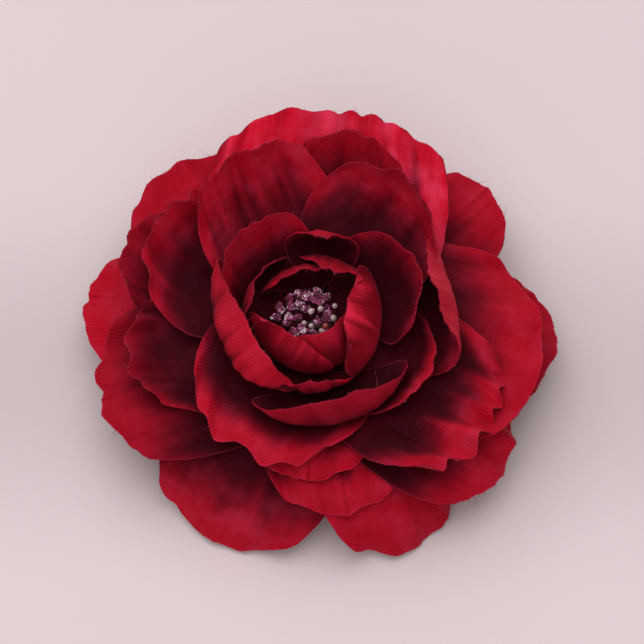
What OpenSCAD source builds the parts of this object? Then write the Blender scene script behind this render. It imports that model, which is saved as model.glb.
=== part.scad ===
// Flower hair clip: a double silk-look blossom on a sprung flat clip.
// Millimetres. X runs across the clip, +Y towards the finger tab, +Z out of the flower.
// The origin is on the flower's axis, in the face of the jaw that lies on the head.

/* [Petals] */
// Width of the open flower across its widest petals
flower_w = 92; // [80:1:104]
// Thickness of the stiffened petal cloth
cloth_t = 0.4; // [0.3:0.05:0.5]
// Height from one petal layer to the next
layer_step = 1.6; // [1.4:0.1:2.2]
// Radius of the uncut heart of each layer, where its petals part
heart_r = 4.2; // [3.8:0.1:5]
// Radius of the punched hole in each layer
layer_hole_r = 2.1; // [1.8:0.1:2.6]

/* [Stem and stamens] */
// Radius of the moulded stem
stem_r = 2; // [1.6:0.1:2.4]
// Radius of the foot of the stem
foot_r = 3.8; // [3:0.1:4]
// Thickness of the foot of the stem
foot_t = 1.6; // [1.4:0.1:2.4]
// Radius of the collars between the layers
collar_r = 3.4; // [3:0.1:3.7]
// Thickness of the head of the stem above the last layer
head_t = 1; // [0.6:0.1:1.6]
// Number of stamens
stamens = 46; // [30:1:60]
// Length of a stamen thread
stamen_l = 3.5; // [3:0.5:8]
// Radius of a stamen thread
thread_r = 0.2; // [0.15:0.05:0.3]
// Radius of a glitter tip
glitter_r = 0.65; // [0.5:0.05:0.7]
// Radius of a pearl tip
pearl_r = 0.7; // [0.5:0.05:0.75]
// Every so many stamens on the pearl side carry a pearl
pearl_every = 2; // [2:1:6]

/* [Backing] */
// Radius of the felt disc
felt_r = 15; // [13:0.5:16]
// Thickness of the felt disc
felt_t = 1.2; // [1:0.1:2]
// Length of the set glue between felt and clip
glue_l = 24; // [20:1:26]
// Thickness of the set glue
glue_t = 0.5; // [0.3:0.1:1]

/* [Clip] */
// Width of the clip's fixed plate
plate_w = 9; // [8:0.5:12]
// Length of the clip's fixed plate
plate_l = 42; // [38:1:44]
// Thickness of the clip's sheet steel
steel_t = 0.6; // [0.5:0.05:0.8]
// Free height between the jaws, where the hair goes
hair_gap = 4.4; // [4.2:0.1:6]
// Distance from the flower's axis back to the hinge
hinge_y = 14; // [13:0.5:15]
// Length of the fixed plate behind the hinge
plate_tail = 5; // [4:0.5:6]
// Length of the finger tab behind the hinge
tab_l = 16; // [14:0.5:20]
// Slope of the finger tab away from the flower
tab_angle = 20; // [16:1:24]
// Radius of the hinge pin
pin_r = 0.8; // [0.6:0.05:1]
// Radius of the wire of the spring
wire_r = 0.3; // [0.25:0.05:0.35]
// Turns of the spring
spring_turns = 7; // [5:1:7]

/* [Hidden] */
$fn = 48;
// Clearance of a turning pin in its holes
pin_gap = 0.05;
// Side clearance between the ears of the two jaws
ear_gap = 0.3;
// Clearance between the spring and what it turns past
spring_gap = 0.3;
// Clearance left at the tip of the closed jaws
tip_gap = 0.3;
// The sprung jaw ends this far short of the fixed plate
jaw_back = 1;
// Flat left on the sprung jaw behind its ears before the tab bends away
tab_back = 1;
// The glue stays this far in from each long edge of the plate
glue_inset = 0.5;
// Rim left round a pin hole in an ear
ear_rim = 0.9;
spring_in = pin_r + spring_gap;
spring_mid = spring_in + wire_r;
spring_out = spring_in + 2 * wire_r;
// Room for the spring's legs above and below its turns
leg_room = 0.2;
pin_z = steel_t + max(hair_gap / 2, spring_out + leg_room);
plate_z = steel_t + hair_gap;
plate_y = hinge_y + plate_tail - plate_l;
ear_r = pin_r + ear_rim;
ear_x = plate_w / 2 - steel_t;
jaw_w = 2 * (ear_x - ear_gap);
jaw_ear_x = jaw_w / 2 - steel_t;
jaw_y = plate_y + jaw_back;
jaw_lip = 5;
tab_y = hinge_y + ear_r + tab_back;
glue_z = plate_z + steel_t;
felt_z = glue_z + glue_t;
foot_z = felt_z + felt_t;
first_z = foot_z + foot_t + cloth_t / 2;
layers = 6;
head_z = first_z + (layers - 1) * layer_step + cloth_t / 2;
// All petal measures grow with the flower
spread = flower_w / 92;

// Petals along and across, in facets
rows_n = 9;
cols_n = 8;
// Share of the petal length at which its sides turn in to form the round end
shoulder_share = 0.55;
// A petal leaves the heart filling this share of its sector
sector_share = 0.82;
// Length of the outer handle of the mid-rib curve, as a share of its chord
tip_share = 0.38;
// A petal widens from its sector to its own width between these shares of its length
widen_share = [0.12, 0.54];
// It has swung to its own direction at this share of its length
swing_share = 0.5;
// The sides curl up to their full height between these shares of the length
curl_share = [0.08, 0.48];
// The rolled rim starts at this share of the length
rim_share = 0.82;
// The rim creeps back by this share of its roll
rim_back = 0.35;
// Sharpness of the curl at the two sides, and of the ruffles along and across a petal
side_power = 1.6;
ruffle_power = [3, 0.3];

// One petal is
// [direction, reach, height over the first layer, half width, slope at the heart,
//  slope at the tip, curl of right side, curl of left side, rim roll, ruffle phase,
//  roundness, belly]
petals_of = [
    [ // layer 1, under all the others
        [5, 48, -6.5, 17.5, 0, -18, 1.3, 1.5, 0, 10, 0.4, 1],
        [45, 49, -3, 15, 5, 5, -1, 0.5, 0, 60, 0.42, 1],
        [129, 48, -0.8, 19, 3, 10, 1.2, 0, 0, 200, 0.4, 1],
        [164, 46.8, -6.2, 18, -2, -17, 2.4, 1, 0, 100, 0.4, 1],
        [243, 41.5, -13.6, 20, 0, -60, -0.5, 1.1, 0, 300, 0.42, 1],
        [299, 42.5, -13.9, 16, -1, -60, -0.8, 1.9, 0, 40, 0.4, 1]
    ],
    [ // layer 2
        [358, 45, 1, 25, 4.5, 1, -1, 1.2, 0.5, 20, 0.4, 1],
        [85, 47, 8, 27, 6, 25, 0.6, 0, 0, 0, 0.25, 1],
        [150, 42, 4.5, 14, 9, 32, 0.5, -0.5, 0, 150, 0.42, 1],
        [195, 43.5, -3, 19.5, 3, -10, 0.4, -0.5, 0.5, 90, 0.38, 1],
        [281, 36, -2.4, 16, 1, -27, 1, 1.5, 1, 250, 0.42, 1],
        [325, 44.5, -6.8, 17, 3, -30, -1, 0.8, 0, 45, 0.42, 1]
    ],
    [ // layer 3
        [22, 27, 3.9, 8, 4.5, 8, -0.4, 0, 0, 0, 0.42, 1],
        [79, 40, 13, 13.5, 8, 50, 1.2, -0.5, 0, 30, 0.42, 1],
        [143, 36.5, 11, 16, 7.5, 70, 0, -0.5, 0.5, 120, 0.42, 1],
        [186, 36.5, 4, 15, 3, 20, 0, -1.2, 0.5, 200, 0.42, 1],
        [268, 30, 2.8, 14, -2, -6, 1, 0.7, 1, 280, 0.42, 1],
        [330, 39.5, 4.5, 19, 3, 12, -1.2, 0.5, 1.5, 70, 0.38, 1]
    ],
    [ // layer 4
        [58, 32, 19, 16, 7.5, 98, -3.5, -1, 0, 80, 0.45, 1.1],
        [113, 34.5, 19.5, 15, 6.5, 70, 2.4, -0.8, 0, 10, 0.4, 1],
        [182, 17, 4.5, 8, 0, 10, 0, 0.5, 0, 300, 0.42, 1],
        [240, 28.6, 7, 22, 0, 25, -1.5, -0.6, 2, 220, 0.42, 1.1],
        [14, 23.4, 16.4, 15, -2, 130, 1, 1, 0, 160, 0.45, 2]
    ],
    [ // layer 5
        [30, 21.4, 16.8, 13, -4, 78, -0.4, 0, 0.5, 160, 0.5, 1],
        [84, 13.6, 18.9, 7.5, 3, 140, 0, 0, 0, 80, 0.75, 1.6],
        [129, 20.2, 18.9, 11.5, -2, 84, 1, 0, 0.3, 10, 0.45, 1],
        [203, 12.7, 15.9, 18.5, 3, 142, 5, -4, 0, 300, 0.55, 2.35],
        [272, 14.2, 14.4, 9, 2, 115, 0, -1, 0, 120, 0.7, 1.3],
        [285, 17.8, 13.2, 18, -1, 140, -0.6, -1, 0, 220, 0.5, 1.85],
        [335, 24, 9.6, 14, 0, 60, 0, 0, 0.8, 40, 0.5, 1]
    ],
    [ // layer 6, the inner cup
        [69, 8.4, 17.4, 7.5, 0, 140, 0, 0, 0, 300, 0.6, 1.75],
        [104, 8.2, 16.4, 9.5, 0, 135, 0, 0, 0, 20, 0.5, 1.5],
        [157, 12.2, 16.9, 11, 0, 108, 0, 0, 0, 220, 0.5, 1.5],
        [234, 6.6, 16, 10.5, 0, 138, 2.2, 0, 0, 160, 0.65, 1.75],
        [297, 5, 15.9, 10.5, 0, 145, 0, 0, 0, 80, 0.5, 1.8],
        [354, 6.2, 17, 12, 0, 143, 1, 2, 0, 10, 0.7, 2.2]
    ]
];
// Ruffle height, ruffle waves, pull of the mid-rib at the heart, turn of the first sector
layer_look = [
    [1, 3, 0.42, -3],
    [1.6, 4, 0.42, 22],
    [1.6, 4, 0.42, 20],
    [0.7, 3, 0.42, 46],
    [0.5, 2, 0.5, 29],
    [0.3, 2, 0.7, 40]
];

// Goes smoothly from 0 to 1 as t goes from the first to the second value of span
function ease(t, span) =
    let(c = min(1, max(0, (t - span[0]) / (span[1] - span[0])))) c * c * (3 - 2 * c);
function half_turn(a) = a - 360 * floor((a + 180) / 360);
function curve(k, t) = pow(1 - t, 3) * k[0] + 3 * pow(1 - t, 2) * t * k[1]
    + 3 * (1 - t) * t * t * k[2] + t * t * t * k[3];
function slope(k, t) = pow(1 - t, 2) * (k[1] - k[0]) + 2 * (1 - t) * t * (k[2] - k[1])
    + t * t * (k[3] - k[2]);

// A point of petal p: u runs -1 to 1 across it, v runs 0 to 1 along it, side is
// half the cloth's thickness up or down
function petal_point(layer, p, u, v, side) =
    let(
        petal = petals_of[layer][p],
        look = layer_look[layer],
        count = len(petals_of[layer]),
        ring_z = first_z + layer * layer_step,
        sector = look[3] + p * 360 / count,
        past = max(0, (v - shoulder_share) / (1 - shoulder_share)),
        across = u * sqrt(1 - petal[10] * past * past),
        t = v < shoulder_share ? v
            : shoulder_share + (1 - shoulder_share) * past * sqrt(1 - petal[10] * u * u),
        start = [heart_r, ring_z],
        end = [petal[1] * spread, first_z + petal[2] * spread],
        chord = norm(end - start),
        knee = start + petal[11] * look[2] * chord * [cos(petal[4]), sin(petal[4])],
        brow = end - petal[11] * tip_share * chord * [cos(petal[5]), sin(petal[5])],
        rib = [start, knee, brow, end],
        at = curve(rib, t),
        way = slope(rib, t) / norm(slope(rib, t)),
        grow = ease(t, widen_share),
        sector_half = (v == 0 ? 1 : sector_share) * 180 / count,
        half = sector_half * (1 - grow) + petal[3] * spread / at[0] * 180 / PI * grow,
        turn = sector + half_turn(petal[0] - sector) * ease(t, [0, swing_share]),
        angle = turn + across * half,
        curl = (u < 0 ? petal[6] : petal[7]) * spread * pow(abs(u), side_power)
            * ease(t, curl_share),
        ruffle = look[0] * spread * pow(t, ruffle_power[0]) * pow(abs(across), ruffle_power[1])
            * sin(petal[9] + look[1] * 180 * across),
        rim = pow(max(0, (t - rim_share) / (1 - rim_share)), 2) * petal[8] * spread,
        out = v == 0 ? 0 : curl + ruffle + rim + side,
        r = at[0] + way[1] * out - way[0] * rim_back * rim,
        z = at[1] - way[0] * out - way[1] * rim_back * rim + (v == 0 ? -side : 0)
    )
    [r * cos(angle), r * sin(angle), z];

// One die-cut layer of cloth: a pierced heart with all its petals, in one piece
module petal_layer(layer) {
    count = len(petals_of[layer]);
    ring_n = count * cols_n;
    sides = [-cloth_t / 2, cloth_t / 2];
    base = [for (s = sides, p = [0:count - 1], k = [0:cols_n - 1])
        petal_point(layer, p, 2 * k / cols_n - 1, 0, s)];
    hole = [for (b = base) [b[0] * layer_hole_r / heart_r, b[1] * layer_hole_r / heart_r, b[2]]];
    rows = [for (s = sides, p = [0:count - 1], v = [1:rows_n], k = [0:cols_n])
        petal_point(layer, p, 2 * k / cols_n - 1, v / rows_n, s)];
    function ring_at(s, p, k) = s * ring_n + (p * cols_n + k) % ring_n;
    function hole_at(s, p, k) = 2 * ring_n + ring_at(s, p, k);
    function row_at(s, p, v, k) = v == 0 ? ring_at(s, p, k)
        : 4 * ring_n + ((s * count + p) * rows_n + v - 1) * (cols_n + 1) + k;
    function quad(a, b, c, d) = [[a, c, b], [a, d, c]];
    faces = [for (p = [0:count - 1]) each concat(
        [for (v = [0:rows_n - 1], k = [0:cols_n - 1]) each concat(
            quad(row_at(0, p, v, k), row_at(0, p, v + 1, k),
                row_at(0, p, v + 1, k + 1), row_at(0, p, v, k + 1)),
            quad(row_at(1, p, v, k), row_at(1, p, v, k + 1),
                row_at(1, p, v + 1, k + 1), row_at(1, p, v + 1, k)))],
        [for (v = [0:rows_n - 1]) each concat(
            quad(row_at(0, p, v, 0), row_at(1, p, v, 0),
                row_at(1, p, v + 1, 0), row_at(0, p, v + 1, 0)),
            quad(row_at(0, p, v, cols_n), row_at(0, p, v + 1, cols_n),
                row_at(1, p, v + 1, cols_n), row_at(1, p, v, cols_n)))],
        [for (k = [0:cols_n - 1]) each concat(
            quad(row_at(0, p, rows_n, k), row_at(1, p, rows_n, k),
                row_at(1, p, rows_n, k + 1), row_at(0, p, rows_n, k + 1)),
            quad(ring_at(0, p, k), ring_at(0, p, k + 1),
                hole_at(0, p, k + 1), hole_at(0, p, k)),
            quad(ring_at(1, p, k + 1), ring_at(1, p, k),
                hole_at(1, p, k), hole_at(1, p, k + 1)),
            quad(hole_at(0, p, k), hole_at(0, p, k + 1),
                hole_at(1, p, k + 1), hole_at(1, p, k)))]
    )];
    polyhedron(points = concat(base, hole, rows), faces = faces, convexity = 10);
}

petal_colors = ["#8c1226", "#8c1226", "#86101f", "#7d0e1e", "#6b0a18", "#5c0814"];
module petals(layer) color(petal_colors[layer]) petal_layer(layer);
module petals_1() petals(0);
module petals_2() petals(1);
module petals_3() petals(2);
module petals_4() petals(3);
module petals_5() petals(4);
module petals_6() petals(5);

// Washer lying on z = 0
module washer(r, hole, h) {
    difference() {
        cylinder(r = r, h = h);
        translate([0, 0, -h]) cylinder(r = hole, h = 3 * h);
    }
}

// Collars that hold the layers apart on the stem
module collars() color("#d9c9a8")
    for (k = [0:layers - 2])
        translate([0, 0, first_z + k * layer_step + cloth_t / 2])
            washer(collar_r, layer_hole_r, layer_step - cloth_t);

// Moulded stem with its foot below the petals and its head above them
module stem() color("#4a1a1c") rotate_extrude()
    polygon([
        [0, foot_z], [foot_r, foot_z], [foot_r, foot_z + foot_t], [stem_r, foot_z + foot_t],
        [stem_r, head_z], [collar_r, head_z], [collar_r, head_z + head_t], [0, head_z + head_t]
    ]);

// Stamens stand in a sunflower spiral on the head of the stem
golden = 137.5;
foot_spread = collar_r - 2 * thread_r;
tip_spread = 6;
// The bunch leans this far towards -X
bunch_lean = 1.4;
// The outer stamens are this much shorter, and all differ by up to this much
crown = 1.4;
stagger = 0.6;
stagger_turn = 97;
// Pearls stand on this side of the bunch, in a sector of this half angle
pearl_side = -35;
pearl_sector = 70;
function share(i) = sqrt((i + 0.5) / stamens);
function stamen_foot(i) = [foot_spread * share(i) * cos(golden * i),
    foot_spread * share(i) * sin(golden * i), head_z + head_t];
function stamen_tip(i) = [tip_spread * share(i) * cos(golden * i) - bunch_lean,
    tip_spread * share(i) * sin(golden * i),
    head_z + head_t + stamen_l - crown * pow(share(i), 2) + stagger * sin(stagger_turn * i)];
function has_pearl(i) = i % pearl_every == 0
    && cos(golden * i - pearl_side) > cos(pearl_sector);

module stamen_threads() color("#5a1020")
    for (i = [0:stamens - 1]) {
        lean = stamen_tip(i) - stamen_foot(i);
        tilt = atan2(norm([lean[0], lean[1]]), lean[2]);
        translate(stamen_foot(i) + [0, 0, thread_r * sin(tilt)])
            rotate([0, tilt, atan2(lean[1], lean[0])])
            cylinder(r = thread_r, h = norm(lean) - 2 * thread_r);
    }

module tips(pearl, r) {
    for (i = [0:stamens - 1])
        if (has_pearl(i) == pearl)
            translate(stamen_tip(i) + [0, 0, r]) sphere(r = r);
}
module glitter_tips() color("#7d3560") tips(false, glitter_r);
module pearl_tips() color("#e8dcd8") tips(true, pearl_r);

// Felt disc that closes the back of the flower
module felt() color("#5c0e1a")
    translate([0, 0, felt_z]) cylinder(r = felt_r, h = felt_t);

// Bar with round ends lying along y on z = 0
module bar(y0, y1, w, h) {
    linear_extrude(h) {
        translate([0, y0 + w / 2]) circle(r = w / 2);
        translate([0, y1 - w / 2]) circle(r = w / 2);
        translate([-w / 2, y0 + w / 2]) square([w, y1 - y0 - w]);
    }
}

// Set hot glue between the felt and the clip
module glue() color("#d8cfb0")
    translate([0, 0, glue_z]) bar(-glue_l / 2, glue_l / 2, plate_w - 2 * glue_inset, glue_t);

// Ear of sheet steel in the plane x = 0, from the hinge pin to the level of its plate
module ear(level, hole) {
    rotate([90, 0, 90]) linear_extrude(steel_t) difference() {
        union() {
            circle(r = ear_r);
            translate([-ear_r, min(0, level)]) square([2 * ear_r, abs(level)]);
        }
        circle(r = hole);
    }
}

// Fixed plate of the clip with its two ears hanging down beside the pin
module clip_plate() color("#b9b9bc") {
    translate([0, 0, plate_z]) bar(plate_y, hinge_y + plate_tail, plate_w, steel_t);
    for (x = [-plate_w / 2, ear_x])
        translate([x, hinge_y, pin_z]) ear(plate_z - pin_z + steel_t, pin_r);
}

// Side outline of the sprung jaw: lip at the tip, flat prong, finger tab
lip_t = 1.6 * steel_t;
lip_rise = plate_z - tip_gap - lip_t;
tab_end = [tab_y + tab_l * cos(tab_angle), -tab_l * sin(tab_angle)];
module jaw_side() {
    polygon([
        [jaw_y, lip_rise], [jaw_y + jaw_lip, 0], [tab_y, 0], tab_end,
        tab_end + [0, steel_t], [tab_y, steel_t], [jaw_y + jaw_lip, steel_t],
        [jaw_y, lip_rise + lip_t]
    ]);
}

// Sprung jaw, with ears inside those of the plate
module clip_jaw() color("#b9b9bc") {
    intersection() {
        translate([-jaw_w, 0, 0]) rotate([90, 0, 90]) linear_extrude(2 * jaw_w) jaw_side();
        translate([0, 0, -tab_l]) bar(jaw_y, tab_end[0], jaw_w, 2 * tab_l);
    }
    for (x = [-jaw_w / 2, jaw_ear_x])
        translate([x, hinge_y, pin_z]) ear(-pin_z, pin_r + pin_gap);
}

// Hinge pin with a flat head outside each ear of the plate
pin_head_rim = 0.5;
pin_head_r = pin_r + pin_head_rim;
pin_head_t = 0.3;
module hinge_pin() color("#cfcfd2")
    translate([-plate_w / 2 - pin_head_t, hinge_y, pin_z]) rotate([0, 90, 0]) {
        cylinder(r = pin_r, h = plate_w + 2 * pin_head_t);
        cylinder(r = pin_head_r, h = pin_head_t);
        translate([0, 0, plate_w + pin_head_t]) cylinder(r = pin_head_r, h = pin_head_t);
    }

// Torsion spring: a leg under the plate, the turns round the pin, a leg on the tab
wire_gap = 0.05;
wire_pitch = 2 * wire_r + wire_gap;
coil_w = (spring_turns + 0.5) * wire_pitch;
steps = 12;
leg_l = 3.5;
leg_rise = plate_z - pin_z - spring_mid - 2 * wire_r;
leg_drop = pin_z - spring_mid - steel_t - 2 * wire_r;
coil = [for (k = [0:(spring_turns + 0.5) * steps])
    let(a = 90 + 360 * k / steps)
    [coil_w / 2 - wire_pitch * k / steps, hinge_y + spring_mid * cos(a), pin_z + spring_mid * sin(a)]];
wire_path = concat(
    [[coil_w / 2, hinge_y + leg_l, pin_z + spring_mid + leg_rise]],
    coil,
    [[-coil_w / 2, hinge_y + leg_l, pin_z - spring_mid - leg_drop]]
);

// Round wire along a path that lies nearly in planes of constant x
module wire(path, r, sides) {
    last = len(path) - 1;
    points = [for (i = [0:last], s = [0:sides - 1])
        let(
            way = path[min(i + 1, last)] - path[max(i - 1, 0)],
            along = way / norm(way),
            across = cross(along, [1, 0, 0]) / norm(cross(along, [1, 0, 0])),
            a = 360 * s / sides
        )
        path[i] + r * (cos(a) * cross(across, along) + sin(a) * across)];
    faces = concat(
        [[for (s = [0:sides - 1]) s]],
        [for (i = [0:last - 1], s = [0:sides - 1])
            [i * sides + s, (i + 1) * sides + s, (i + 1) * sides + (s + 1) % sides,
                i * sides + (s + 1) % sides]],
        [[for (s = [sides - 1:-1:0]) last * sides + s]]
    );
    polyhedron(points = points, faces = faces, convexity = 8);
}
module spring() color("#8e9094") wire(wire_path, wire_r, 8);

petals_1();
petals_2();
petals_3();
petals_4();
petals_5();
petals_6();
collars();
stem();
stamen_threads();
glitter_tips();
pearl_tips();
felt();
glue();
clip_plate();
clip_jaw();
hinge_pin();
spring();
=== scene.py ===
import math

import bpy
import numpy as np
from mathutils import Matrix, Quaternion, Vector


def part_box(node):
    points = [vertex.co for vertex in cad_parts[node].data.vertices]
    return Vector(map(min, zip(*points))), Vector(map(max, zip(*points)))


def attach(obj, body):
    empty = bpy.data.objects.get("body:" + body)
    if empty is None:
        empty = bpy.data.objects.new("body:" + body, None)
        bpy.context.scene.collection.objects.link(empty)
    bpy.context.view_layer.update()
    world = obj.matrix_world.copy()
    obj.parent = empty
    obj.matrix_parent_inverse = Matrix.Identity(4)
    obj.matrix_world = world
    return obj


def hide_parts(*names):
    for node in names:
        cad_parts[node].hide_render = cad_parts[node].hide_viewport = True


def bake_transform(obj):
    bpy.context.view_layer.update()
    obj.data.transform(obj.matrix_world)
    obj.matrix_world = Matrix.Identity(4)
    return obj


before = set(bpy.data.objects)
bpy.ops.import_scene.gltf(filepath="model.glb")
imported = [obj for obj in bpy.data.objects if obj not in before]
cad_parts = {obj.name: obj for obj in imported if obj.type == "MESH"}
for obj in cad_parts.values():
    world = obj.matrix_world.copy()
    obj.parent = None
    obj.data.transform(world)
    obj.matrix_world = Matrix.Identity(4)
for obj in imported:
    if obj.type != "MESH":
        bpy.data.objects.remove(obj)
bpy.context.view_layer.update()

# Lengths here are millimetres, and become metres where a mesh is made
MM = 0.001

# ---------------------------------------------------------------- sizes of the clip

# Petal layers: radius of the heart, from which the petals spread, and of its hole, height
# of the lowest layer, step from layer to layer, thickness of the cloth
HEART_R = 4.2
HOLE_R = 2.1
FIRST_Z = 9.1
LAYER_STEP = 1.6
CLOTH_T = 0.24
# Felt disc with its nap and the share by which it is cut unevenly, and the glue under it
FELT_R = 15
FELT_T = 1.2
FELT_Z = 6.1
NAP_ROOM = 0.06
NAP = 0.05
FELT_CUT = 0.012
GLUE_HALF_W = 4
GLUE_HALF_L = 12
# Clip
STEEL_T = 0.6
HINGE_Y = 14
PIN_Z = 2.8
PLATE_Z = 5.0
TABLE_Z = -5.5

# One petal, with direction, slopes and ruffle phase in degrees, is
# [direction, reach, height over the first layer, half width, slope at the heart,
#  slope at the tip, curl of right side, curl of left side, rim roll, ruffle phase,
#  roundness of the tip, belly of the mid-rib]
PETALS = [
    [
        [5, 48, -6.5, 17.5, 0, -18, 1.3, 1.5, 0, 10, 0.4, 1],
        [45, 49, -3, 15, 5, 5, -1, 0.5, 0, 60, 0.42, 1],
        [129, 48, -0.8, 19, 3, 10, 1.2, 0, 0, 200, 0.4, 1],
        [164, 46.8, -6.2, 18, -2, -17, 2.4, 1, 0, 100, 0.4, 1],
        [243, 41.5, -13.6, 20, 0, -60, -0.5, 1.1, 0, 300, 0.42, 1],
        [299, 42.5, -13.9, 16, -1, -60, -0.8, 1.9, 0, 40, 0.4, 1],
    ],
    [
        [358, 45, 1, 25, 4.5, 1, -1, 1.2, 0.5, 20, 0.4, 1],
        [85, 47, 8, 27, 6, 25, 0.6, 0, 0, 0, 0.25, 1],
        [150, 42, 4.5, 14, 9, 32, 0.5, -0.5, 0, 150, 0.42, 1],
        [195, 43.5, -3, 19.5, 3, -10, 0.4, -0.5, 0.5, 90, 0.38, 1],
        [281, 36, -2.4, 16, 1, -27, 1, 1.5, 1, 250, 0.42, 1],
        [325, 44.5, -6.8, 17, 3, -30, -1, 0.8, 0, 45, 0.42, 1],
    ],
    [
        [22, 27, 3.9, 8, 4.5, 8, -0.4, 0, 0, 0, 0.42, 1],
        [79, 40, 13, 13.5, 8, 50, 1.2, -0.5, 0, 30, 0.42, 1],
        [143, 36.5, 11, 16, 7.5, 70, 0, -0.5, 0.5, 120, 0.42, 1],
        [186, 36.5, 4, 15, 3, 20, 0, -1.2, 0.5, 200, 0.42, 1],
        [268, 30, 2.8, 14, -2, -6, 1, 0.7, 1, 280, 0.42, 1],
        [330, 39.5, 4.5, 19, 3, 12, -1.2, 0.5, 1.5, 70, 0.38, 1],
    ],
    [
        [58, 32, 19, 16, 7.5, 98, -3.5, -1, 0, 80, 0.45, 1.1],
        [113, 34.5, 19.5, 15, 6.5, 70, 2.4, -0.8, 0, 10, 0.4, 1],
        [182, 17, 4.5, 8, 0, 10, 0, 0.5, 0, 300, 0.42, 1],
        [240, 28.6, 7, 22, 0, 25, -1.5, -0.6, 2, 220, 0.42, 1.1],
        [14, 23.4, 16.4, 15, -2, 130, 1, 1, 0, 160, 0.45, 2],
    ],
    [
        [30, 21.4, 16.8, 13, -4, 78, -0.4, 0, 0.5, 160, 0.5, 1],
        [84, 13.6, 18.9, 7.5, 3, 140, 0, 0, 0, 80, 0.75, 1.6],
        [129, 20.2, 18.9, 11.5, -2, 84, 1, 0, 0.3, 10, 0.45, 1],
        [203, 12.7, 15.9, 18.5, 3, 142, 5, -4, 0, 300, 0.55, 2.35],
        [272, 14.2, 14.4, 9, 2, 115, 0, -1, 0, 120, 0.7, 1.3],
        [285, 17.8, 13.2, 18, -1, 140, -0.6, -1, 0, 220, 0.5, 1.85],
        [335, 24, 9.6, 14, 0, 60, 0, 0, 0.8, 40, 0.5, 1],
    ],
    [
        [69, 8.4, 17.4, 7.5, 0, 140, 0, 0, 0, 300, 0.6, 1.75],
        [104, 8.2, 16.4, 9.5, 0, 135, 0, 0, 0, 20, 0.5, 1.5],
        [157, 12.2, 16.9, 11, 0, 108, 0, 0, 0, 220, 0.5, 1.5],
        [234, 6.6, 16, 10.5, 0, 138, 2.2, 0, 0, 160, 0.65, 1.75],
        [297, 5, 15.9, 10.5, 0, 145, 0, 0, 0, 80, 0.5, 1.8],
        [354, 6.2, 17, 12, 0, 143, 1, 2, 0, 10, 0.7, 2.2],
    ],
]
# Ruffle height, ruffle waves, pull of the mid-rib at the heart, turn of the first sector
LAYER_LOOK = [
    [1.0, 3, 0.42, -3],
    [1.6, 4, 0.42, 22],
    [1.6, 4, 0.42, 20],
    [0.7, 3, 0.42, 46],
    [0.5, 2, 0.5, 29],
    [0.3, 2, 0.7, 40],
]
# How the sheet of each layer is pressed and cut: height and number of its creases,
# unevenness of its cut rims, flat width and flat area
LAYER_CLOTH = [
    dict(crease=0.3, creases=6, lobes=0.6, flat=106, area=6200),
    dict(crease=0.5, creases=7, lobes=0.7, flat=104, area=6500),
    dict(crease=0.45, creases=7, lobes=0.6, flat=90, area=3950),
    dict(crease=0.4, creases=8, lobes=0.5, flat=84, area=3150),
    dict(crease=0.16, creases=6, lobes=0.4, flat=66, area=2350),
    dict(crease=0.12, creases=5, lobes=0.3, flat=54, area=1320),
]
# What a petal has unless it says otherwise: breadth of its creases, number and depth of
# the scallops of its rim, their rise and fall, painted shade in their pleats and on its sides
PLAIN_RIM = dict(breadth=0.07, scallops=3, scallop=0.0, flutter=0.25, pleat_shade=0.0, shade=0.0)
# The petals that are pressed, or given painted shade, in a way of their own, by layer and
# place
PRESSED = {
    (0, 1): dict(crease=0.5, creases=4, breadth=0.1),
    (0, 2): dict(crease=0.55, creases=4, breadth=0.1, scallops=4, scallop=0.5),
    (0, 4): dict(crease=0.3, creases=6, breadth=0.06, lobes=0.25),
    (0, 5): dict(crease=0.3, creases=5, breadth=0.08, lobes=0.2),
    (1, 0): dict(crease=0.35, creases=5, breadth=0.08, flutter=0.5),
    (1, 1): dict(crease=0.9, creases=5, breadth=0.08, scallops=8, scallop=0.9, flutter=1.0,
                 pleat_shade=0.26),
    (1, 3): dict(crease=0.5, creases=5, breadth=0.09, scallops=4, scallop=0.4, flutter=0.6),
    (1, 5): dict(crease=0.45, creases=5, scallops=4, scallop=0.5, flutter=0.8),
    (2, 1): dict(crease=0.5, creases=6, breadth=0.06, scallops=5, flutter=0.4, pleat_shade=0.08),
    (2, 2): dict(crease=0.5, creases=5, breadth=0.09, scallops=4, scallop=0.5, flutter=1.1),
    (2, 3): dict(crease=0.4, creases=4, breadth=0.09, scallops=4, scallop=0.5, flutter=1.0),
    (2, 5): dict(crease=0.5, creases=6, breadth=0.06, scallops=5, scallop=1.4, flutter=1.9,
                 pleat_shade=0.12),
    (3, 0): dict(crease=0.3, creases=6, breadth=0.08),
    (3, 1): dict(crease=0.45, creases=8, breadth=0.045),
    (3, 3): dict(crease=0.4, creases=4, breadth=0.09, scallops=4, scallop=0.6, flutter=0.9),
    (3, 4): dict(crease=0.1, creases=4, lobes=0.2, flutter=0.0),
    (4, 3): dict(crease=0.3, creases=9, breadth=0.045),
    (5, 3): dict(crease=0.15, creases=6, breadth=0.07),
    (5, 5): dict(crease=0.25, creases=7, breadth=0.07, shade=0.5),
}
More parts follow.
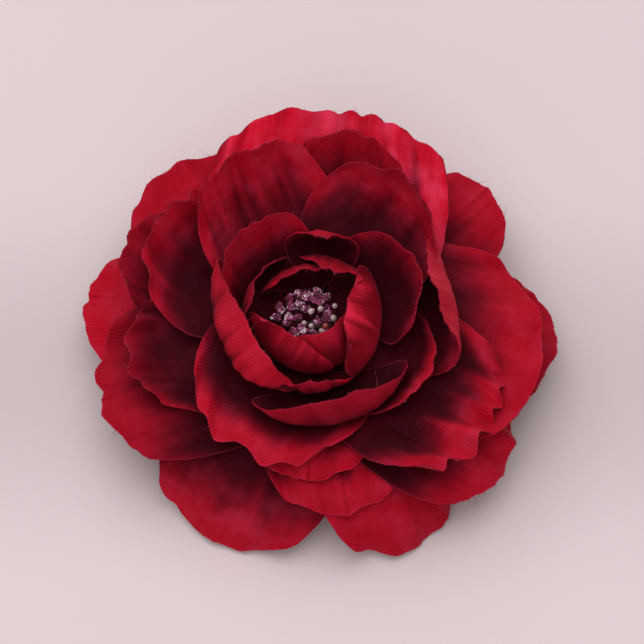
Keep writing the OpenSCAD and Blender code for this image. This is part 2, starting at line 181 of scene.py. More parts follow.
# For each petal: where along it the dark heart, dyed dark and painted darker as shade in the
# flower's hollows, starts to fade, where the bright colour is full, and how brightly the whole
# petal is painted as lit, above 1 with painted light and below 1 with painted shade
DYE_AND_PAINTED_LIGHT = [
    [(0.1, 0.7, 0.76), (0.4, 1.05, 0.92), (0.1, 0.8, 0.92), (0.0, 0.55, 1.0),
     (0.4, 1.1, 1.08), (0.1, 0.8, 0.98)],
    [(0.4, 1.0, 0.95), (0.0, 1.0, 1.45), (0.55, 1.2, 0.9), (0.45, 1.1, 0.82),
     (0.5, 0.95, 1.0), (0.55, 1.0, 0.95)],
    [(0.4, 1.0, 0.8), (0.5, 1.1, 0.9), (0.5, 1.05, 0.95), (0.6, 1.25, 0.95),
     (0.5, 0.95, 1.0), (0.62, 1.0, 1.05)],
    [(0.4, 0.95, 1.08), (0.15, 1.15, 1.04), (0.5, 1.1, 0.8), (0.6, 1.0, 0.98),
     (0.45, 0.95, 1.12)],
    [(0.5, 1.25, 0.82), (0.5, 1.0, 1.0), (0.4, 0.95, 1.0), (0.4, 1.0, 1.05),
     (0.5, 1.1, 0.9), (0.5, 1.1, 0.68), (0.75, 1.05, 1.0)],
    [(0.6, 1.2, 1.0), (0.6, 1.2, 1.0), (0.6, 1.2, 0.95), (0.6, 1.2, 1.05),
     (0.6, 1.2, 1.05), (0.6, 1.2, 1.65)],
]
# Cells of a petal's grid, along it and across it
ROWS = 64
COLS = 64


# ---------------------------------------------------------------- shader expressions


class Signal:
    """A shader socket that takes part in Python sums: each operator adds a Math node."""

    def __init__(self, finish, socket):
        self.finish = finish
        self.socket = socket

    def math(self, operation, *values):
        return self.finish.node(
            "ShaderNodeMath", dict(operation=operation), dict(enumerate(values))
        )

    def __add__(self, other):
        return self.math("ADD", self, other)

    def __sub__(self, other):
        return self.math("SUBTRACT", self, other)

    def __rsub__(self, other):
        return self.math("SUBTRACT", other, self)

    def __mul__(self, other):
        return self.math("MULTIPLY", self, other)

    __radd__ = __add__
    __rmul__ = __mul__

    def __abs__(self):
        return self.math("ABSOLUTE", self)

    def least(self, other):
        return self.math("MINIMUM", self, other)

    def sine(self):
        return self.math("SINE", self)

    def fade(self, start, end, low=0.0, high=1.0):
        """Goes smoothly from low at start to high at end."""
        return self.finish.node(
            "ShaderNodeMapRange",
            dict(interpolation_type="SMOOTHSTEP"),
            {0: self, 1: start, 2: end, 3: low, 4: high},
        )


class Finish:
    """A material under way, on its Principled shader."""

    def __init__(self, name, **constants):
        self.material = bpy.data.materials.new(name)
        self.material.use_nodes = True
        self.tree = self.material.node_tree
        self.shader = self.tree.nodes["Principled BSDF"]
        self.drive(**constants)

    def node(self, kind, settings=None, values=None, output=0):
        """Adds any node: its settings first, then the values or links of its sockets."""
        made = self.tree.nodes.new(kind)
        for key, value in (settings or {}).items():
            setattr(made, key, value)
        for key, value in (values or {}).items():
            self.put(value, made.inputs[key])
        return Signal(self, made.outputs[output])

    def put(self, value, socket):
        if isinstance(value, Signal):
            self.tree.links.new(value.socket, socket)
        elif value is not None:
            socket.default_value = value

    def drive(self, **values):
        """Sets or links sockets of the Principled shader."""
        for key, value in values.items():
            self.put(value, self.shader.inputs[key.replace("_", " ")])

    def mix(self, share, first, second, blend="MIX"):
        """A mix of two colours, which are sockets 6 and 7 of the Mix node."""
        return self.node(
            "ShaderNodeMix",
            dict(data_type="RGBA", blend_type=blend),
            {0: share, 6: first, 7: second},
            output=2,
        )

    def grey(self, value):
        return self.node("ShaderNodeCombineColor", None, {0: value, 1: value, 2: value})

    def place(self):
        """Object coordinates, in millimetres."""
        where = self.node("ShaderNodeTexCoord", output="Object")
        return self.stretch(where, (1 / MM, 1 / MM, 1 / MM))

    def uv(self, name):
        return self.node("ShaderNodeUVMap", dict(uv_map=name))

    def attribute(self, name):
        return self.node("ShaderNodeAttribute", dict(attribute_name=name), output="Fac")

    def part(self, vector, axis):
        return self.node("ShaderNodeSeparateXYZ", None, {0: vector}, output=axis)

    def vector(self, operation, *values):
        return self.node(
            "ShaderNodeVectorMath", dict(operation=operation), dict(enumerate(values))
        )

    def stretch(self, vector, by):
        return self.vector("MULTIPLY", vector, by)

    def noise(self, vector, size, detail=2.0, rough=0.5, stretch=(1, 1, 1)):
        """Soft noise about size millimetres across, 0 to 1."""
        at = self.stretch(vector, tuple(1 / (size * s) for s in stretch))
        return self.node(
            "ShaderNodeTexNoise",
            None,
            {"Vector": at, "Scale": 1.0, "Detail": detail, "Roughness": rough},
        )

    def bump(self, height, depth, strength=1.0, normal=None):
        """Turns a height of 0 to 1 into relief of depth millimetres."""
        return self.node(
            "ShaderNodeBump",
            None,
            {"Strength": strength, "Distance": depth * MM, "Height": height, "Normal": normal},
        )


def tone(red, green, blue):
    """A colour from its three screen values, 0 to 255."""
    def linear(value):
        share = value / 255
        return share / 12.92 if share < 0.04045 else ((share + 0.055) / 1.055) ** 2.4
    return (linear(red), linear(green), linear(blue), 1.0)


# ---------------------------------------------------------------- petal cloth

THREAD_PITCH = 0.5
GLINT = tone(208, 42, 72)
FRAYED_RIM = tone(206, 62, 92)


def weave(finish, cloth):
    """Height of a ribbed plain weave on cloth coordinates, 0 to 1: the weft stands out."""
    across = (finish.part(cloth, 0) * (math.pi / THREAD_PITCH)).sine()
    along = (finish.part(cloth, 1) * (math.pi / THREAD_PITCH)).sine()
    over = across * along * 0.5 + 0.5
    plain = abs(across) * over + abs(along) * (1 - over)
    return plain * 0.4 + abs(along) * finish.noise(cloth, 9, 2).fade(0.3, 0.7, 0.15, 0.6)


def petal_cloth(name, dark, deep, bright, painted_sheen, painted_sheen_share):
    """Dyed woven cloth: dark plum at the heart, deepened by painted shade, crimson outwards,
    with painted sheen and painted glints, and a pale frayed rim.
    """
    finish = Finish(
        name,
        Roughness=0.6,
        Specular_IOR_Level=0.09,
        Specular_Tint=(1.0, 0.3, 0.45, 1.0),
        Sheen_Weight=0.07,
        Sheen_Roughness=0.4,
        Sheen_Tint=(1.0, 0.3, 0.5, 1.0),
    )
    cloth = finish.uv("cloth")
    petal = finish.uv("petal")
    rim = finish.uv("rim")
    light = finish.attribute("light")

    # Threads, from the weave and from thick and thin places in the yarn
    height = weave(finish, cloth)
    warp = finish.noise(cloth, 0.5, 1, 0.5, (1, 26, 1))
    weft = finish.noise(cloth, 0.5, 1, 0.5, (26, 1, 1))
    slubs = warp * 0.5 + weft * 0.5

    # Dyed colour with painted shade, from dark at the heart to bright, blotchy and streaked
    # along the petal
    mottle = finish.noise(petal, 7, 3, 0.55)
    streaks = finish.noise(petal, 1.6, 2, 0.5, (1, 9, 1))
    dye_and_shade = finish.attribute("dye_and_shade") + (streaks - 0.5) * 0.1 + (mottle - 0.5) * 0.1
    lit = dye_and_shade.fade(0.05, 0.95)
    base = finish.mix(lit.fade(0.0, 0.55), dark, deep)
    base = finish.mix(lit.fade(0.35, 1.0), base, bright)
    # Painted sheen: pink patches, stronger on petals that are given more painted light
    sheen_patches = mottle.fade(0.4, 0.75) * 0.75 + streaks.fade(0.4, 0.75) * 0.15
    pale = light.fade(0.85, 1.35, 0.3, 1.3)
    base = finish.mix(sheen_patches * lit * pale * painted_sheen_share, base, painted_sheen)

    # Glints on raised threads, shade between threads, pale cut ends along the rim
    caught = finish.noise(petal, 6, 1).fade(0.42, 0.68, 0.15, 1.0)
    glint = height.fade(0.25, 0.75) * caught * (lit * 0.8 + 0.2)
    base = finish.mix(glint * 0.26, base, GLINT)
    # The light attribute brings in each petal's painted light and painted shade
    threads = (height * 0.36 + slubs * 0.35 + 0.62) * light
    base = finish.mix(1.0, base, finish.grey(threads), "MULTIPLY")
    edge = finish.part(rim, 0).least(finish.part(rim, 1))
    frayed = edge.fade(0.42, 0.02) * finish.noise(petal, 0.7, 2).fade(0.3, 0.6, 0.35, 1.0)
    base = finish.mix(frayed * 0.2, base, FRAYED_RIM)

    creased = finish.bump(finish.noise(petal, 2.6, 3, 0.55, (1, 2.5, 1)), 0.22, 0.55)
    finish.drive(
        Base_Color=base,
        Roughness=slubs.fade(0.2, 0.8, 0.68, 0.5) - height * 0.06,
        Normal=finish.bump(height + slubs * 0.5, 0.07, 0.85, creased),
    )
    return finish.material


PETAL_FACE = petal_cloth(
    "petal_face",
    dark=tone(52, 4, 10),
    deep=tone(102, 6, 20),
    bright=tone(178, 10, 33),
    painted_sheen=tone(218, 64, 100),
    painted_sheen_share=0.55,
)
PETAL_BACK = petal_cloth(
    "petal_back",
    dark=tone(100, 5, 18),
    deep=tone(138, 8, 25),
    bright=tone(172, 12, 35),
    painted_sheen=tone(206, 46, 78),
    painted_sheen_share=0.5,
)


def cut_edge():
    """Cut rim of the cloth, where the ends of its threads show pale."""
    finish = Finish(
        "petal_cut_edge",
        Roughness=0.8,
        Specular_IOR_Level=0.05,
        Sheen_Weight=0.05,
        Sheen_Tint=(1.0, 0.3, 0.45, 1.0),
    )
    ends = finish.noise(finish.place(), 0.3, 2, 0.6)
    finish.drive(
        Base_Color=finish.mix(ends.fade(0.35, 0.75), tone(104, 6, 22), tone(176, 30, 54)),
        Normal=finish.bump(ends, 0.08, 0.8),
    )
    return finish.material


def fibre_finish():
    finish = Finish("loose_fibre", Roughness=0.6, Specular_IOR_Level=0.2)
    patches = finish.noise(finish.place(), 2.5).fade(0.45, 0.68)
    finish.drive(Base_Color=finish.mix(patches, tone(92, 8, 26), tone(196, 70, 96)))
    return finish.material


PETAL_EDGE = cut_edge()
FIBRE = fibre_finish()


# ---------------------------------------------------------------- petals

# The form that all petals share, in shares of a petal's length unless said otherwise:
# where its round tip starts, the share of its sector that it fills at the heart, the
# pull of its mid-rib at the tip, over what it widens, swings round and curls, where a
# rolled rim starts and how far that pulls back, and how late the sides curl
SHOULDER = 0.55
SECTOR_FILL = 0.82
TIP_PULL = 0.38
WIDEN = (0.12, 0.54)
SWING = (0, 0.5)
CURL = (0.08, 0.48)
RIM_START = 0.82
RIM_BACK = 0.35
SIDE_POWER = 1.6
# Unevenness of a petal as (height, waves), of its cut tip, its cut sides and its rim, and
# as (height, size) of its dimples; a petal narrower than the half width has less of it
TIP_CUTS = [(0.16, 4), (0.05, 14)]
SIDE_CUTS = [(0.35, 2), (0.1, 8)]
RIM_WAVES = [(0.2, 3), (0.08, 6)]
DIMPLES = [(0.16, 9), (0.05, 3.2)]
WIDE_PETAL = 16
# Past this slope of the tip a petal folds over the heart and shows its back
FOLDED_SLOPE = 100
# Painted shade along pressed creases, painted highlight and shade on a folded petal's creases,
# lighter sides
CREASE_SHADE_DEPTH = 0.3
FOLD_LIGHT_AND_SHADE = 3.0
SIDE_LIGHTENING = 0.3
# Angle past which a smooth-shaded petal keeps an edge, and distance that welds points
CLOTH_EDGE = math.radians(50)
WELD = 1e-6


def rise(values, start, end):
    """Goes smoothly from 0 at start to 1 at end."""
    share = np.clip((values - start) / (end - start), 0, 1)
    return share * share * (3 - 2 * share)


def rim_wander(draw, along, sizes):
    """Uneven line round zero, a sum of waves; sizes are (height, waves over the line)."""
    line = np.zeros_like(along)
    for height, waves in sizes:
        for _ in range(3):
            turns = waves * draw.uniform(0.6, 1.5)
            line += height / 3 * np.sin(2 * np.pi * (turns * along + draw.uniform()))
    return line


def dimples(draw, x, y, size):
    """Soft random hills about size millimetres apart, about -1 to 1."""
    hills = np.zeros_like(x + y)
    for _ in range(7):
        heading, phase = draw.uniform(0, 2 * np.pi, 2)
        pace = 2 * np.pi / size * draw.uniform(0.6, 1.5)
        hills += np.sin(pace * (x * np.cos(heading) + y * np.sin(heading)) + phase)
    return hills / 3.5


def creases(draw, across, along, count, width):
    """Pressed creases that fan out from the heart, as height -1 to 1."""
    relief = np.zeros_like(across)
    for k in range(count):
        centre = -0.85 + 1.7 * (k + draw.uniform(0.1, 0.9)) / count
        breadth = width * draw.uniform(0.6, 1.5)
        drift = draw.uniform(-0.25, 0.25)
        first, last = draw.uniform(0.25, 0.6), draw.uniform(0.86, 1.15)
        sign = draw.choice([-1.0, 1.0], p=[0.35, 0.65])
        at = (across - centre - drift * (along - 0.7)) / breadth
        ends = rise(along, first, first + 0.2) * (1 - rise(along, last, last + 0.15))
        relief += sign * np.exp(-at * at) * ends
    return relief


def mid_rib(start, end, pull_in, pull_out, slopes, t):
    """Points and directions of a mid-rib at the shares t of it, on a Bezier curve."""
    lead, tail = np.radians(slopes)
    knee = start + pull_in * np.array([np.cos(lead), np.sin(lead)])
    brow = end - pull_out * np.array([np.cos(tail), np.sin(tail)])
    s = t[..., None]
    rest = 1 - s
    at = rest**3 * start + 3 * rest**2 * s * knee + 3 * rest * s**2 * brow + s**3 * end
    way = rest**2 * (knee - start) + 2 * rest * s * (brow - knee) + s**2 * (end - brow)
    return at, way / np.linalg.norm(way, axis=-1, keepdims=True)


def dye_with_painted_shade(layer, index, look, u, t, pressed, scallops, folded):
    """How brightly a petal is coloured, from 0 at a dark heart to 1: dyed dark there and
    painted darker as shade, with painted shade and highlight on its creases and pleats, and
    lighter sides.
    """
    dye_start, dye_end, _ = DYE_AND_PAINTED_LIGHT[layer][index]
    # Painted shade in the hollows of the creases
    crease_shade = CREASE_SHADE_DEPTH * pressed * look["crease"]
    if folded:
        # A folded petal gets painted highlight and painted shade on its creases
        crease_shade = -FOLD_LIGHT_AND_SHADE * crease_shade
    else:
        crease_shade = crease_shade * (1 - 0.75 * rise(t, 0.6, 1))
    hollow = (0.5 + 0.5 * np.cos(2 * scallops)) ** 3
    beside = (0.5 + 0.5 * np.cos(2 * scallops + 1.3)) ** 3
    # Painted shade in the pleat hollows and painted light beside them
    crease_shade = crease_shade + look["pleat_shade"] * rise(t, 0.3, 0.7) * (hollow - beside)
    if layer > 1:
        crease_shade = crease_shade - SIDE_LIGHTENING * rise(np.abs(u), 0.6, 1) * rise(t, 0.3, 0.6)
    bright = np.clip((t - dye_start) / (dye_end - dye_start), 0, 1)
    return np.clip(bright - crease_shade, 0, 1)


def petal_sheet(layer, index):
    """Middle surface of one petal as a grid, and what its cloth needs at each point."""
    (direction, reach, height, half_width, slope_in, slope_out,
     curl_right, curl_left, roll, phase, roundness, belly) = PETALS[layer][index]
    ruffle_h, waves, pull, first_turn = LAYER_LOOK[layer]
    look = {**PLAIN_RIM, **LAYER_CLOTH[layer], **PRESSED.get((layer, index), {})}
    lightness = DYE_AND_PAINTED_LIGHT[layer][index][2]
    count = len(PETALS[layer])
    draw = np.random.RandomState(10 * layer + index + 1)
    start = np.array([HEART_R, FIRST_Z + layer * LAYER_STEP])
    end = np.array([reach, FIRST_Z + height])
    chord = np.linalg.norm(end - start)

    # Outline: u runs from side to side, v and t from the heart to the round, uneven tip
    u = np.linspace(-1, 1, COLS + 1)[None, :]
    v = np.linspace(0, 1, ROWS + 1)[:, None]
    past = np.clip((v - SHOULDER) / (1 - SHOULDER), 0, 1)
    narrow = np.sqrt(1 - roundness * past**2)
    across = u * narrow
    reached = np.sqrt(1 - roundness * u**2)
    t = np.where(v < SHOULDER, v, SHOULDER + (1 - SHOULDER) * past * reached)
    uneven = min(1, half_width / WIDE_PETAL) ** 2 * (1.0 if layer < 4 else 0.25)
    nibble = uneven * rim_wander(draw, u, [(look["lobes"], 1.5), *TIP_CUTS])
    scallops = np.pi * look["scallops"] * (0.5 * u + 0.5 + 0.03 * np.sin(5 * u + index))
    nibble += look["scallop"] * (np.sqrt(np.sin(scallops) ** 2 + 0.06) - 0.8)
    t = t * (1 + nibble / chord * past**3)

    # Mid-rib, and the turn of each point round the heart
    pull_in = belly * pull * chord
    pull_out = belly * TIP_PULL * chord
    at, way = mid_rib(start, end, pull_in, pull_out, (slope_in, slope_out), t)
    length = np.linalg.norm(np.diff(at[:, COLS // 2], axis=0), axis=-1).sum()
    grow = rise(t, *WIDEN)
    sector_half = np.where(v == 0, 1, SECTOR_FILL) * np.pi / count
    half = sector_half * (1 - grow) + half_width / at[..., 0] * grow
    sector = first_turn + index * 360 / count
    bend = direction - sector
    bend -= 360 * np.floor((bend + 180) / 360)
    side_wander = uneven * rim_wander(draw, v, SIDE_CUTS)
    fan = across * (1 + side_wander / half_width * np.abs(u) ** 5)
    angle = np.radians(sector + bend * rise(t, *SWING)) + fan * half

    # Relief square to the mid-rib: curled sides, ruffle, rolled rim, creases, dimples
    sideways = across * half_width
    onward = t * length
    curl = np.where(u < 0, curl_right, curl_left) * np.abs(u) ** SIDE_POWER
    curl = curl * rise(t, *CURL)
    wave = np.sin(np.radians(phase + waves * 180 * across))
    ruffle = ruffle_h * t**3 * np.abs(across) ** 0.3 * wave
    rim = roll * np.clip((t - RIM_START) / (1 - RIM_START), 0, None) ** 2
    pressed = creases(draw, across, t, look["creases"], look["breadth"])
    free = rise(t, 0.15, 0.65)
    relief = look["crease"] * pressed
    relief -= look["flutter"] * t**4.5 * np.cos(2 * scallops)
    for depth, size in DIMPLES:
        relief += depth * free * dimples(draw, sideways, onward, size)
    relief += t**7 * rim_wander(draw, across, RIM_WAVES)
    out = np.where(v == 0, 0, curl + ruffle + rim + free * relief)
    r = at[..., 0] + way[..., 1] * out - way[..., 0] * RIM_BACK * rim
    z = at[..., 1] - way[..., 0] * out - way[..., 1] * RIM_BACK * rim
    z = np.maximum(z, TABLE_Z + CLOTH_T / 2)

    # Cloth: the grain lies its own way on each petal
    grain = np.radians(draw.uniform(-50, 50))
    along_cloth = HEART_R + onward
    across_cloth = fan * half * at[..., 0]
    side_shade = look["shade"] * rise(np.abs(u), 0.7, 0.95)
    return dict(
        points=np.stack([r * np.cos(angle), r * np.sin(angle), z], -1),
        petal=np.stack([across_cloth + 50 * index, along_cloth], -1),
        cloth=np.stack([
            along_cloth * np.cos(grain) - across_cloth * np.sin(grain),
            along_cloth * np.sin(grain) + across_cloth * np.cos(grain),
        ], -1),
        rim=np.stack([
            (1 - v) * length * reached,
            (1 - np.abs(u)) * half * at[..., 0] * narrow,
        ], -1),
        dye_and_shade=dye_with_painted_shade(layer, index, look, u, t, pressed, scallops, slope_out > FOLDED_SLOPE),
        light=np.broadcast_to(lightness * (1 - side_shade), t.shape),
    )


def new_object(name, mesh):
    piece = bpy.data.objects.new(name, mesh)
    bpy.context.scene.collection.objects.link(piece)
    return piece


def pick(piece):
    """Makes piece the one object that operators act on."""
    bpy.ops.object.select_all(action="DESELECT")
    bpy.context.view_layer.objects.active = piece
    piece.select_set(True)


def start_edit(piece):
    """Opens piece in edit mode, with all of it selected."""
    pick(piece)
    bpy.ops.object.mode_set(mode="EDIT")
    bpy.ops.mesh.select_all(action="SELECT")


def end_edit():
    bpy.ops.object.mode_set(mode="OBJECT")


def thicken(piece, thickness, back=0, rim=0):
    """Gives a sheet its thickness, half to each side; back and rim are material steps."""
    wall = piece.modifiers.new("wall", "SOLIDIFY")
    wall.thickness = thickness * MM
    wall.offset = 0
    wall.material_offset = back
    wall.material_offset_rim = rim
    pick(piece)
    bpy.ops.object.modifier_apply(modifier=wall.name)


def petal_layer(layer):
    """One die-cut layer: a pierced heart and its petals, cut from one sheet."""
    name = f"petal_layer_{layer + 1}"
    sheets = [petal_sheet(layer, index) for index in range(len(PETALS[layer]))]
    points, faces = [], []
    maps = {"petal": [], "cloth": [], "rim": []}
    marks = {"dye_and_shade": [], "light": []}
    row = COLS + 1
    size = (ROWS + 1) * row
    for n, sheet in enumerate(sheets):
        heart = sheet["points"][0]
        hole = heart * [HOLE_R / HEART_R, HOLE_R / HEART_R, 1]
        points += [sheet["points"].reshape(-1, 3), hole]
        for key in maps:
            maps[key] += [sheet[key].reshape(-1, 2), sheet[key][0]]
        for key in marks:
            marks[key] += [sheet[key].reshape(-1), sheet[key][0]]
        start = n * (size + row)
        v, k = np.meshgrid(np.arange(ROWS), np.arange(COLS), indexing="ij")
        a = (start + v * row + k).reshape(-1)
        faces.append(np.stack([a, a + row, a + row + 1, a + 1], -1))
        a = start + np.arange(COLS)
        faces.append(np.stack([a, a + 1, a + 1 + size, a + size], -1))
    points = np.concatenate(points) * MM
    faces = np.concatenate(faces)
    mesh = bpy.data.meshes.new(name)
    mesh.from_pydata(points.tolist(), [], faces.tolist())
    corner = faces.reshape(-1)
    for key, values in maps.items():
        spread = np.concatenate(values)[corner].astype(np.float32)
        mesh.uv_layers.new(name=key).data.foreach_set("uv", spread.reshape(-1))
    for key, values in marks.items():
        mark = mesh.attributes.new(key, "FLOAT", "POINT")
        mark.data.foreach_set("value", np.concatenate(values).astype(np.float32))
    piece = new_object(name, mesh)
    for material in (PETAL_FACE, PETAL_BACK, PETAL_EDGE):
        mesh.materials.append(material)
    start_edit(piece)
    bpy.ops.mesh.remove_doubles(threshold=WELD)
    end_edit()
    thicken(piece, CLOTH_T, back=1, rim=2)
    bpy.ops.object.shade_smooth_by_angle(angle=CLOTH_EDGE)
    return piece, sheets


def fibre_mesh(name, hairs, radius):
    """Thin three-sided hairs along the given lines, closed at both ends."""
    slant = [0.3, 0.5, 0.81]
    corners = [(math.cos(turn), math.sin(turn)) for turn in (0, math.tau / 3, -math.tau / 3)]
    points, faces = [], []
    for hair in hairs:
        start = len(points)
        steps = len(hair) - 1
        for i, at in enumerate(hair):
            way = hair[min(i + 1, steps)] - hair[max(i - 1, 0)]
            way = way / np.linalg.norm(way)
            side = np.cross(way, slant)
            side /= np.linalg.norm(side)
            top = np.cross(way, side)
            thick = radius * (1 - 0.5 * i / steps)
            points += [at + thick * (side * x + top * y) for x, y in corners]
        for i in range(steps):
            a = start + 3 * i
            for k in range(3):
                n = (k + 1) % 3
                faces.append([a + k, a + n, a + 3 + n, a + 3 + k])
        last = start + 3 * steps
        faces.append([start + 2, start + 1, start])
        faces.append([last, last + 1, last + 2])
    mesh = bpy.data.meshes.new(name)
    mesh.from_pydata((np.array(points) * MM).tolist(), [], faces)
    return mesh


# Thread ends of a petal: their number and radius, the share of them at its tip, the share
# and length of the long ones, and how far over the table they stay
ENDS_A_PETAL = 34
END_R = 0.042
TIP_ENDS = 0.8
LONG_ENDS = 0.035
LONG_END = 3.2
END_LIFT = 0.03


def frayed_ends(layer, sheets):
    """Loose thread ends standing out of the cut rims of a layer."""
    draw = np.random.RandomState(200 + layer)
    hairs = []
    for sheet in sheets:
        grid = sheet["points"]
        for _ in range(ENDS_A_PETAL):
            if draw.uniform() < TIP_ENDS:
                col = draw.randint(2, COLS - 2)
                root, inner = grid[ROWS, col], grid[ROWS - 3, col]
                rim = grid[ROWS, col + 1] - grid[ROWS, col - 1]
            else:
                col = draw.choice([0, COLS])
                row = draw.randint(ROWS // 2, ROWS - 2)
                root, inner = grid[row, col], grid[row, 3 if col == 0 else COLS - 3]
                rim = grid[row + 1, col] - grid[row - 1, col]
            way = (root - inner) / np.linalg.norm(root - inner)
            rim = rim / np.linalg.norm(rim)
            if draw.uniform() < LONG_ENDS:
                length = LONG_END * draw.uniform(0.5, 1.0)
            else:
                length = draw.uniform(0.25, 0.8)
            lean = draw.uniform(-1.2, 1.2)
            heading = way + lean * rim + 0.3 * draw.uniform(-0.4, 0.4, 3)
            heading /= np.linalg.norm(heading)
            bow = np.cross(heading, draw.uniform(-1, 1, 3)) * draw.uniform(0, 0.35)
            hair = [
                root - 0.15 * way + length * s * heading + length * s * s * bow
                for s in (0, 0.33, 0.66, 1)
            ]
            hairs.append(np.maximum(hair, [-np.inf, -np.inf, TABLE_Z + END_LIFT]))
    mesh = fibre_mesh(f"frayed_ends_{layer + 1}", hairs, END_R)
    mesh.materials.append(FIBRE)
    return new_object(mesh.name, mesh)


for layer in range(len(PETALS)):
    piece, sheets = petal_layer(layer)
    ends = frayed_ends(layer, sheets)
    slot = "petal_outer" if layer < 3 else "petal_inner"
    for cloth_piece in (piece, ends):
        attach(cloth_piece, "flower")
    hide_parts(f"petals_{layer + 1}")


# ---------------------------------------------------------------- stamens

# Stamens stand in a sunflower spiral, the outer ones shorter, on the head of the stem
STAMENS = 46
STAMEN_L = 3.5
HEAD_TOP = 18.3
GOLDEN = 137.5
TIP_SPREAD = 6
CROWN = 1.4
STAGGER = 0.6
STAGGER_TURN = 97
BUNCH_LEAN = -1.4
# Pearls stand on this side of the bunch, in a sector of this half angle
PEARL_EVERY = 2
PEARL_SIDE = -35
PEARL_SECTOR = 70
PEARL_R = 0.7
GLITTER_R = 0.65
FLAKES_A_HEAD = 14
FLAKE_R = 0.2
FLAKE_T = 0.035
SPOTS_PER_MM = 3.6


def stamen_tip(i):
    share = math.sqrt((i + 0.5) / STAMENS)
    turn = math.radians(GOLDEN * i)
    lift = STAGGER * math.sin(math.radians(STAGGER_TURN * i)) - CROWN * share**2
    return Vector((
        BUNCH_LEAN + TIP_SPREAD * share * math.cos(turn),
        TIP_SPREAD * share * math.sin(turn),
        HEAD_TOP + STAMEN_L + lift,
    ))


def has_pearl(i):
    off = math.radians(GOLDEN * i - PEARL_SIDE)
    return i % PEARL_EVERY == 0 and math.cos(off) > math.cos(math.radians(PEARL_SECTOR))


def glitter_finish():
    """Crushed foil glitter, each flake with its own colour and each spot its own tilt."""
    finish = Finish("glitter", Specular_IOR_Level=0.6, Coat_Roughness=0.12)
    at = finish.place()
    spots = finish.stretch(at, (SPOTS_PER_MM, SPOTS_PER_MM, SPOTS_PER_MM))
    spot = finish.node("ShaderNodeTexVoronoi", None, {"Vector": spots}, output="Color")
    flake = finish.node("ShaderNodeNewGeometry", output="Random Per Island")
    facing = finish.node("ShaderNodeNewGeometry", output="Normal")
    sparkle = finish.part(spot, 1)
    bright = flake * 0.75 + finish.noise(at, 2.2, 1).fade(0.35, 0.65) * 0.45
    base = finish.mix(bright.fade(0.3, 0.5), tone(78, 8, 30), tone(158, 30, 84))
    base = finish.mix(bright.fade(0.6, 0.78), base, tone(206, 98, 162))
    base = finish.mix(bright.fade(0.88, 0.96), base, tone(252, 232, 242))
    # Painted glints: pale pink on the spots that are also the most metallic
    base = finish.mix(sparkle.fade(0.84, 0.9) * 0.4, base, tone(240, 196, 226))
    tilt = finish.vector("SUBTRACT", spot, (0.5, 0.5, 0.5))
    tilt = finish.stretch(tilt, (1.5, 1.5, 1.5))
    finish.drive(
        Base_Color=base,
        Metallic=sparkle.fade(0.2, 0.6, 0.0, 0.35),
        Roughness=flake.fade(0.0, 1.0, 0.42, 0.16),
        Normal=finish.vector("NORMALIZE", finish.vector("ADD", facing, tilt)),
    )
    return finish.material


def pearl_finish():
    """Pearl lacquer on small beads, whitish with a few of them rusty pink."""
    finish = Finish("pearl", Coat_Weight=0.25, Coat_Roughness=0.25, Roughness=0.4)
    bead = finish.node("ShaderNodeNewGeometry", output="Random Per Island")
    swirl = finish.noise(finish.place(), 0.8, 3, 0.6)
    base = finish.mix(swirl.fade(0.3, 0.7), tone(146, 112, 114), tone(204, 178, 176))
    base = finish.mix(bead.fade(0.7, 0.75), base, tone(150, 58, 54))
    finish.drive(
        Base_Color=base,
        Roughness=swirl.fade(0.2, 0.8, 0.24, 0.42),
        Normal=finish.bump(swirl, 0.03, 0.4),
    )
    return finish.material


def lumpy_bead(name, radius, subdivisions, unevenness, seed):
    """A ball pushed out of round, modelled at the origin."""
    bpy.ops.object.select_all(action="DESELECT")
    bpy.ops.mesh.primitive_ico_sphere_add(subdivisions=subdivisions, radius=radius * MM)
    bead = bpy.context.active_object
    bead.name = name
    start_edit(bead)
    bpy.ops.transform.vertex_random(
        offset=unevenness * MM, uniform=0.4, normal=1.0, seed=seed
    )
    end_edit()
    return bead


def foil_flake():
    """A thin six-sided chip of foil, modelled at the origin."""
    bpy.ops.object.select_all(action="DESELECT")
    bpy.ops.mesh.primitive_circle_add(vertices=6, radius=FLAKE_R * MM, fill_type="NGON")
    flake = bpy.context.active_object
    start_edit(flake)
    bpy.ops.mesh.extrude_region_move(
        TRANSFORM_OT_translate={"value": (0, 0, FLAKE_T * MM)}
    )
    bpy.ops.mesh.select_all(action="SELECT")
    bpy.ops.mesh.normals_make_consistent(inside=False)
    end_edit()
    return flake


def copies(name, model, places, finish):
    """One piece made of a model's copies at (place, turn, stretch), each its own mesh."""
    made = []
    for at, turn, stretch in places:
        twin = new_object(model.name, model.data.copy())
        twin.rotation_euler = turn
        twin.scale = stretch
        twin.location = at * MM
        made.append(twin)
    bpy.data.objects.remove(model)
    pick(made[0])
    for twin in made:
        twin.select_set(True)
    bpy.ops.object.join()
    piece = bpy.context.active_object
    bpy.ops.object.transform_apply(location=True, rotation=True, scale=True)
    piece.name = name
    piece.data.name = name
    piece.data.materials.clear()
    piece.data.materials.append(finish)
    return piece


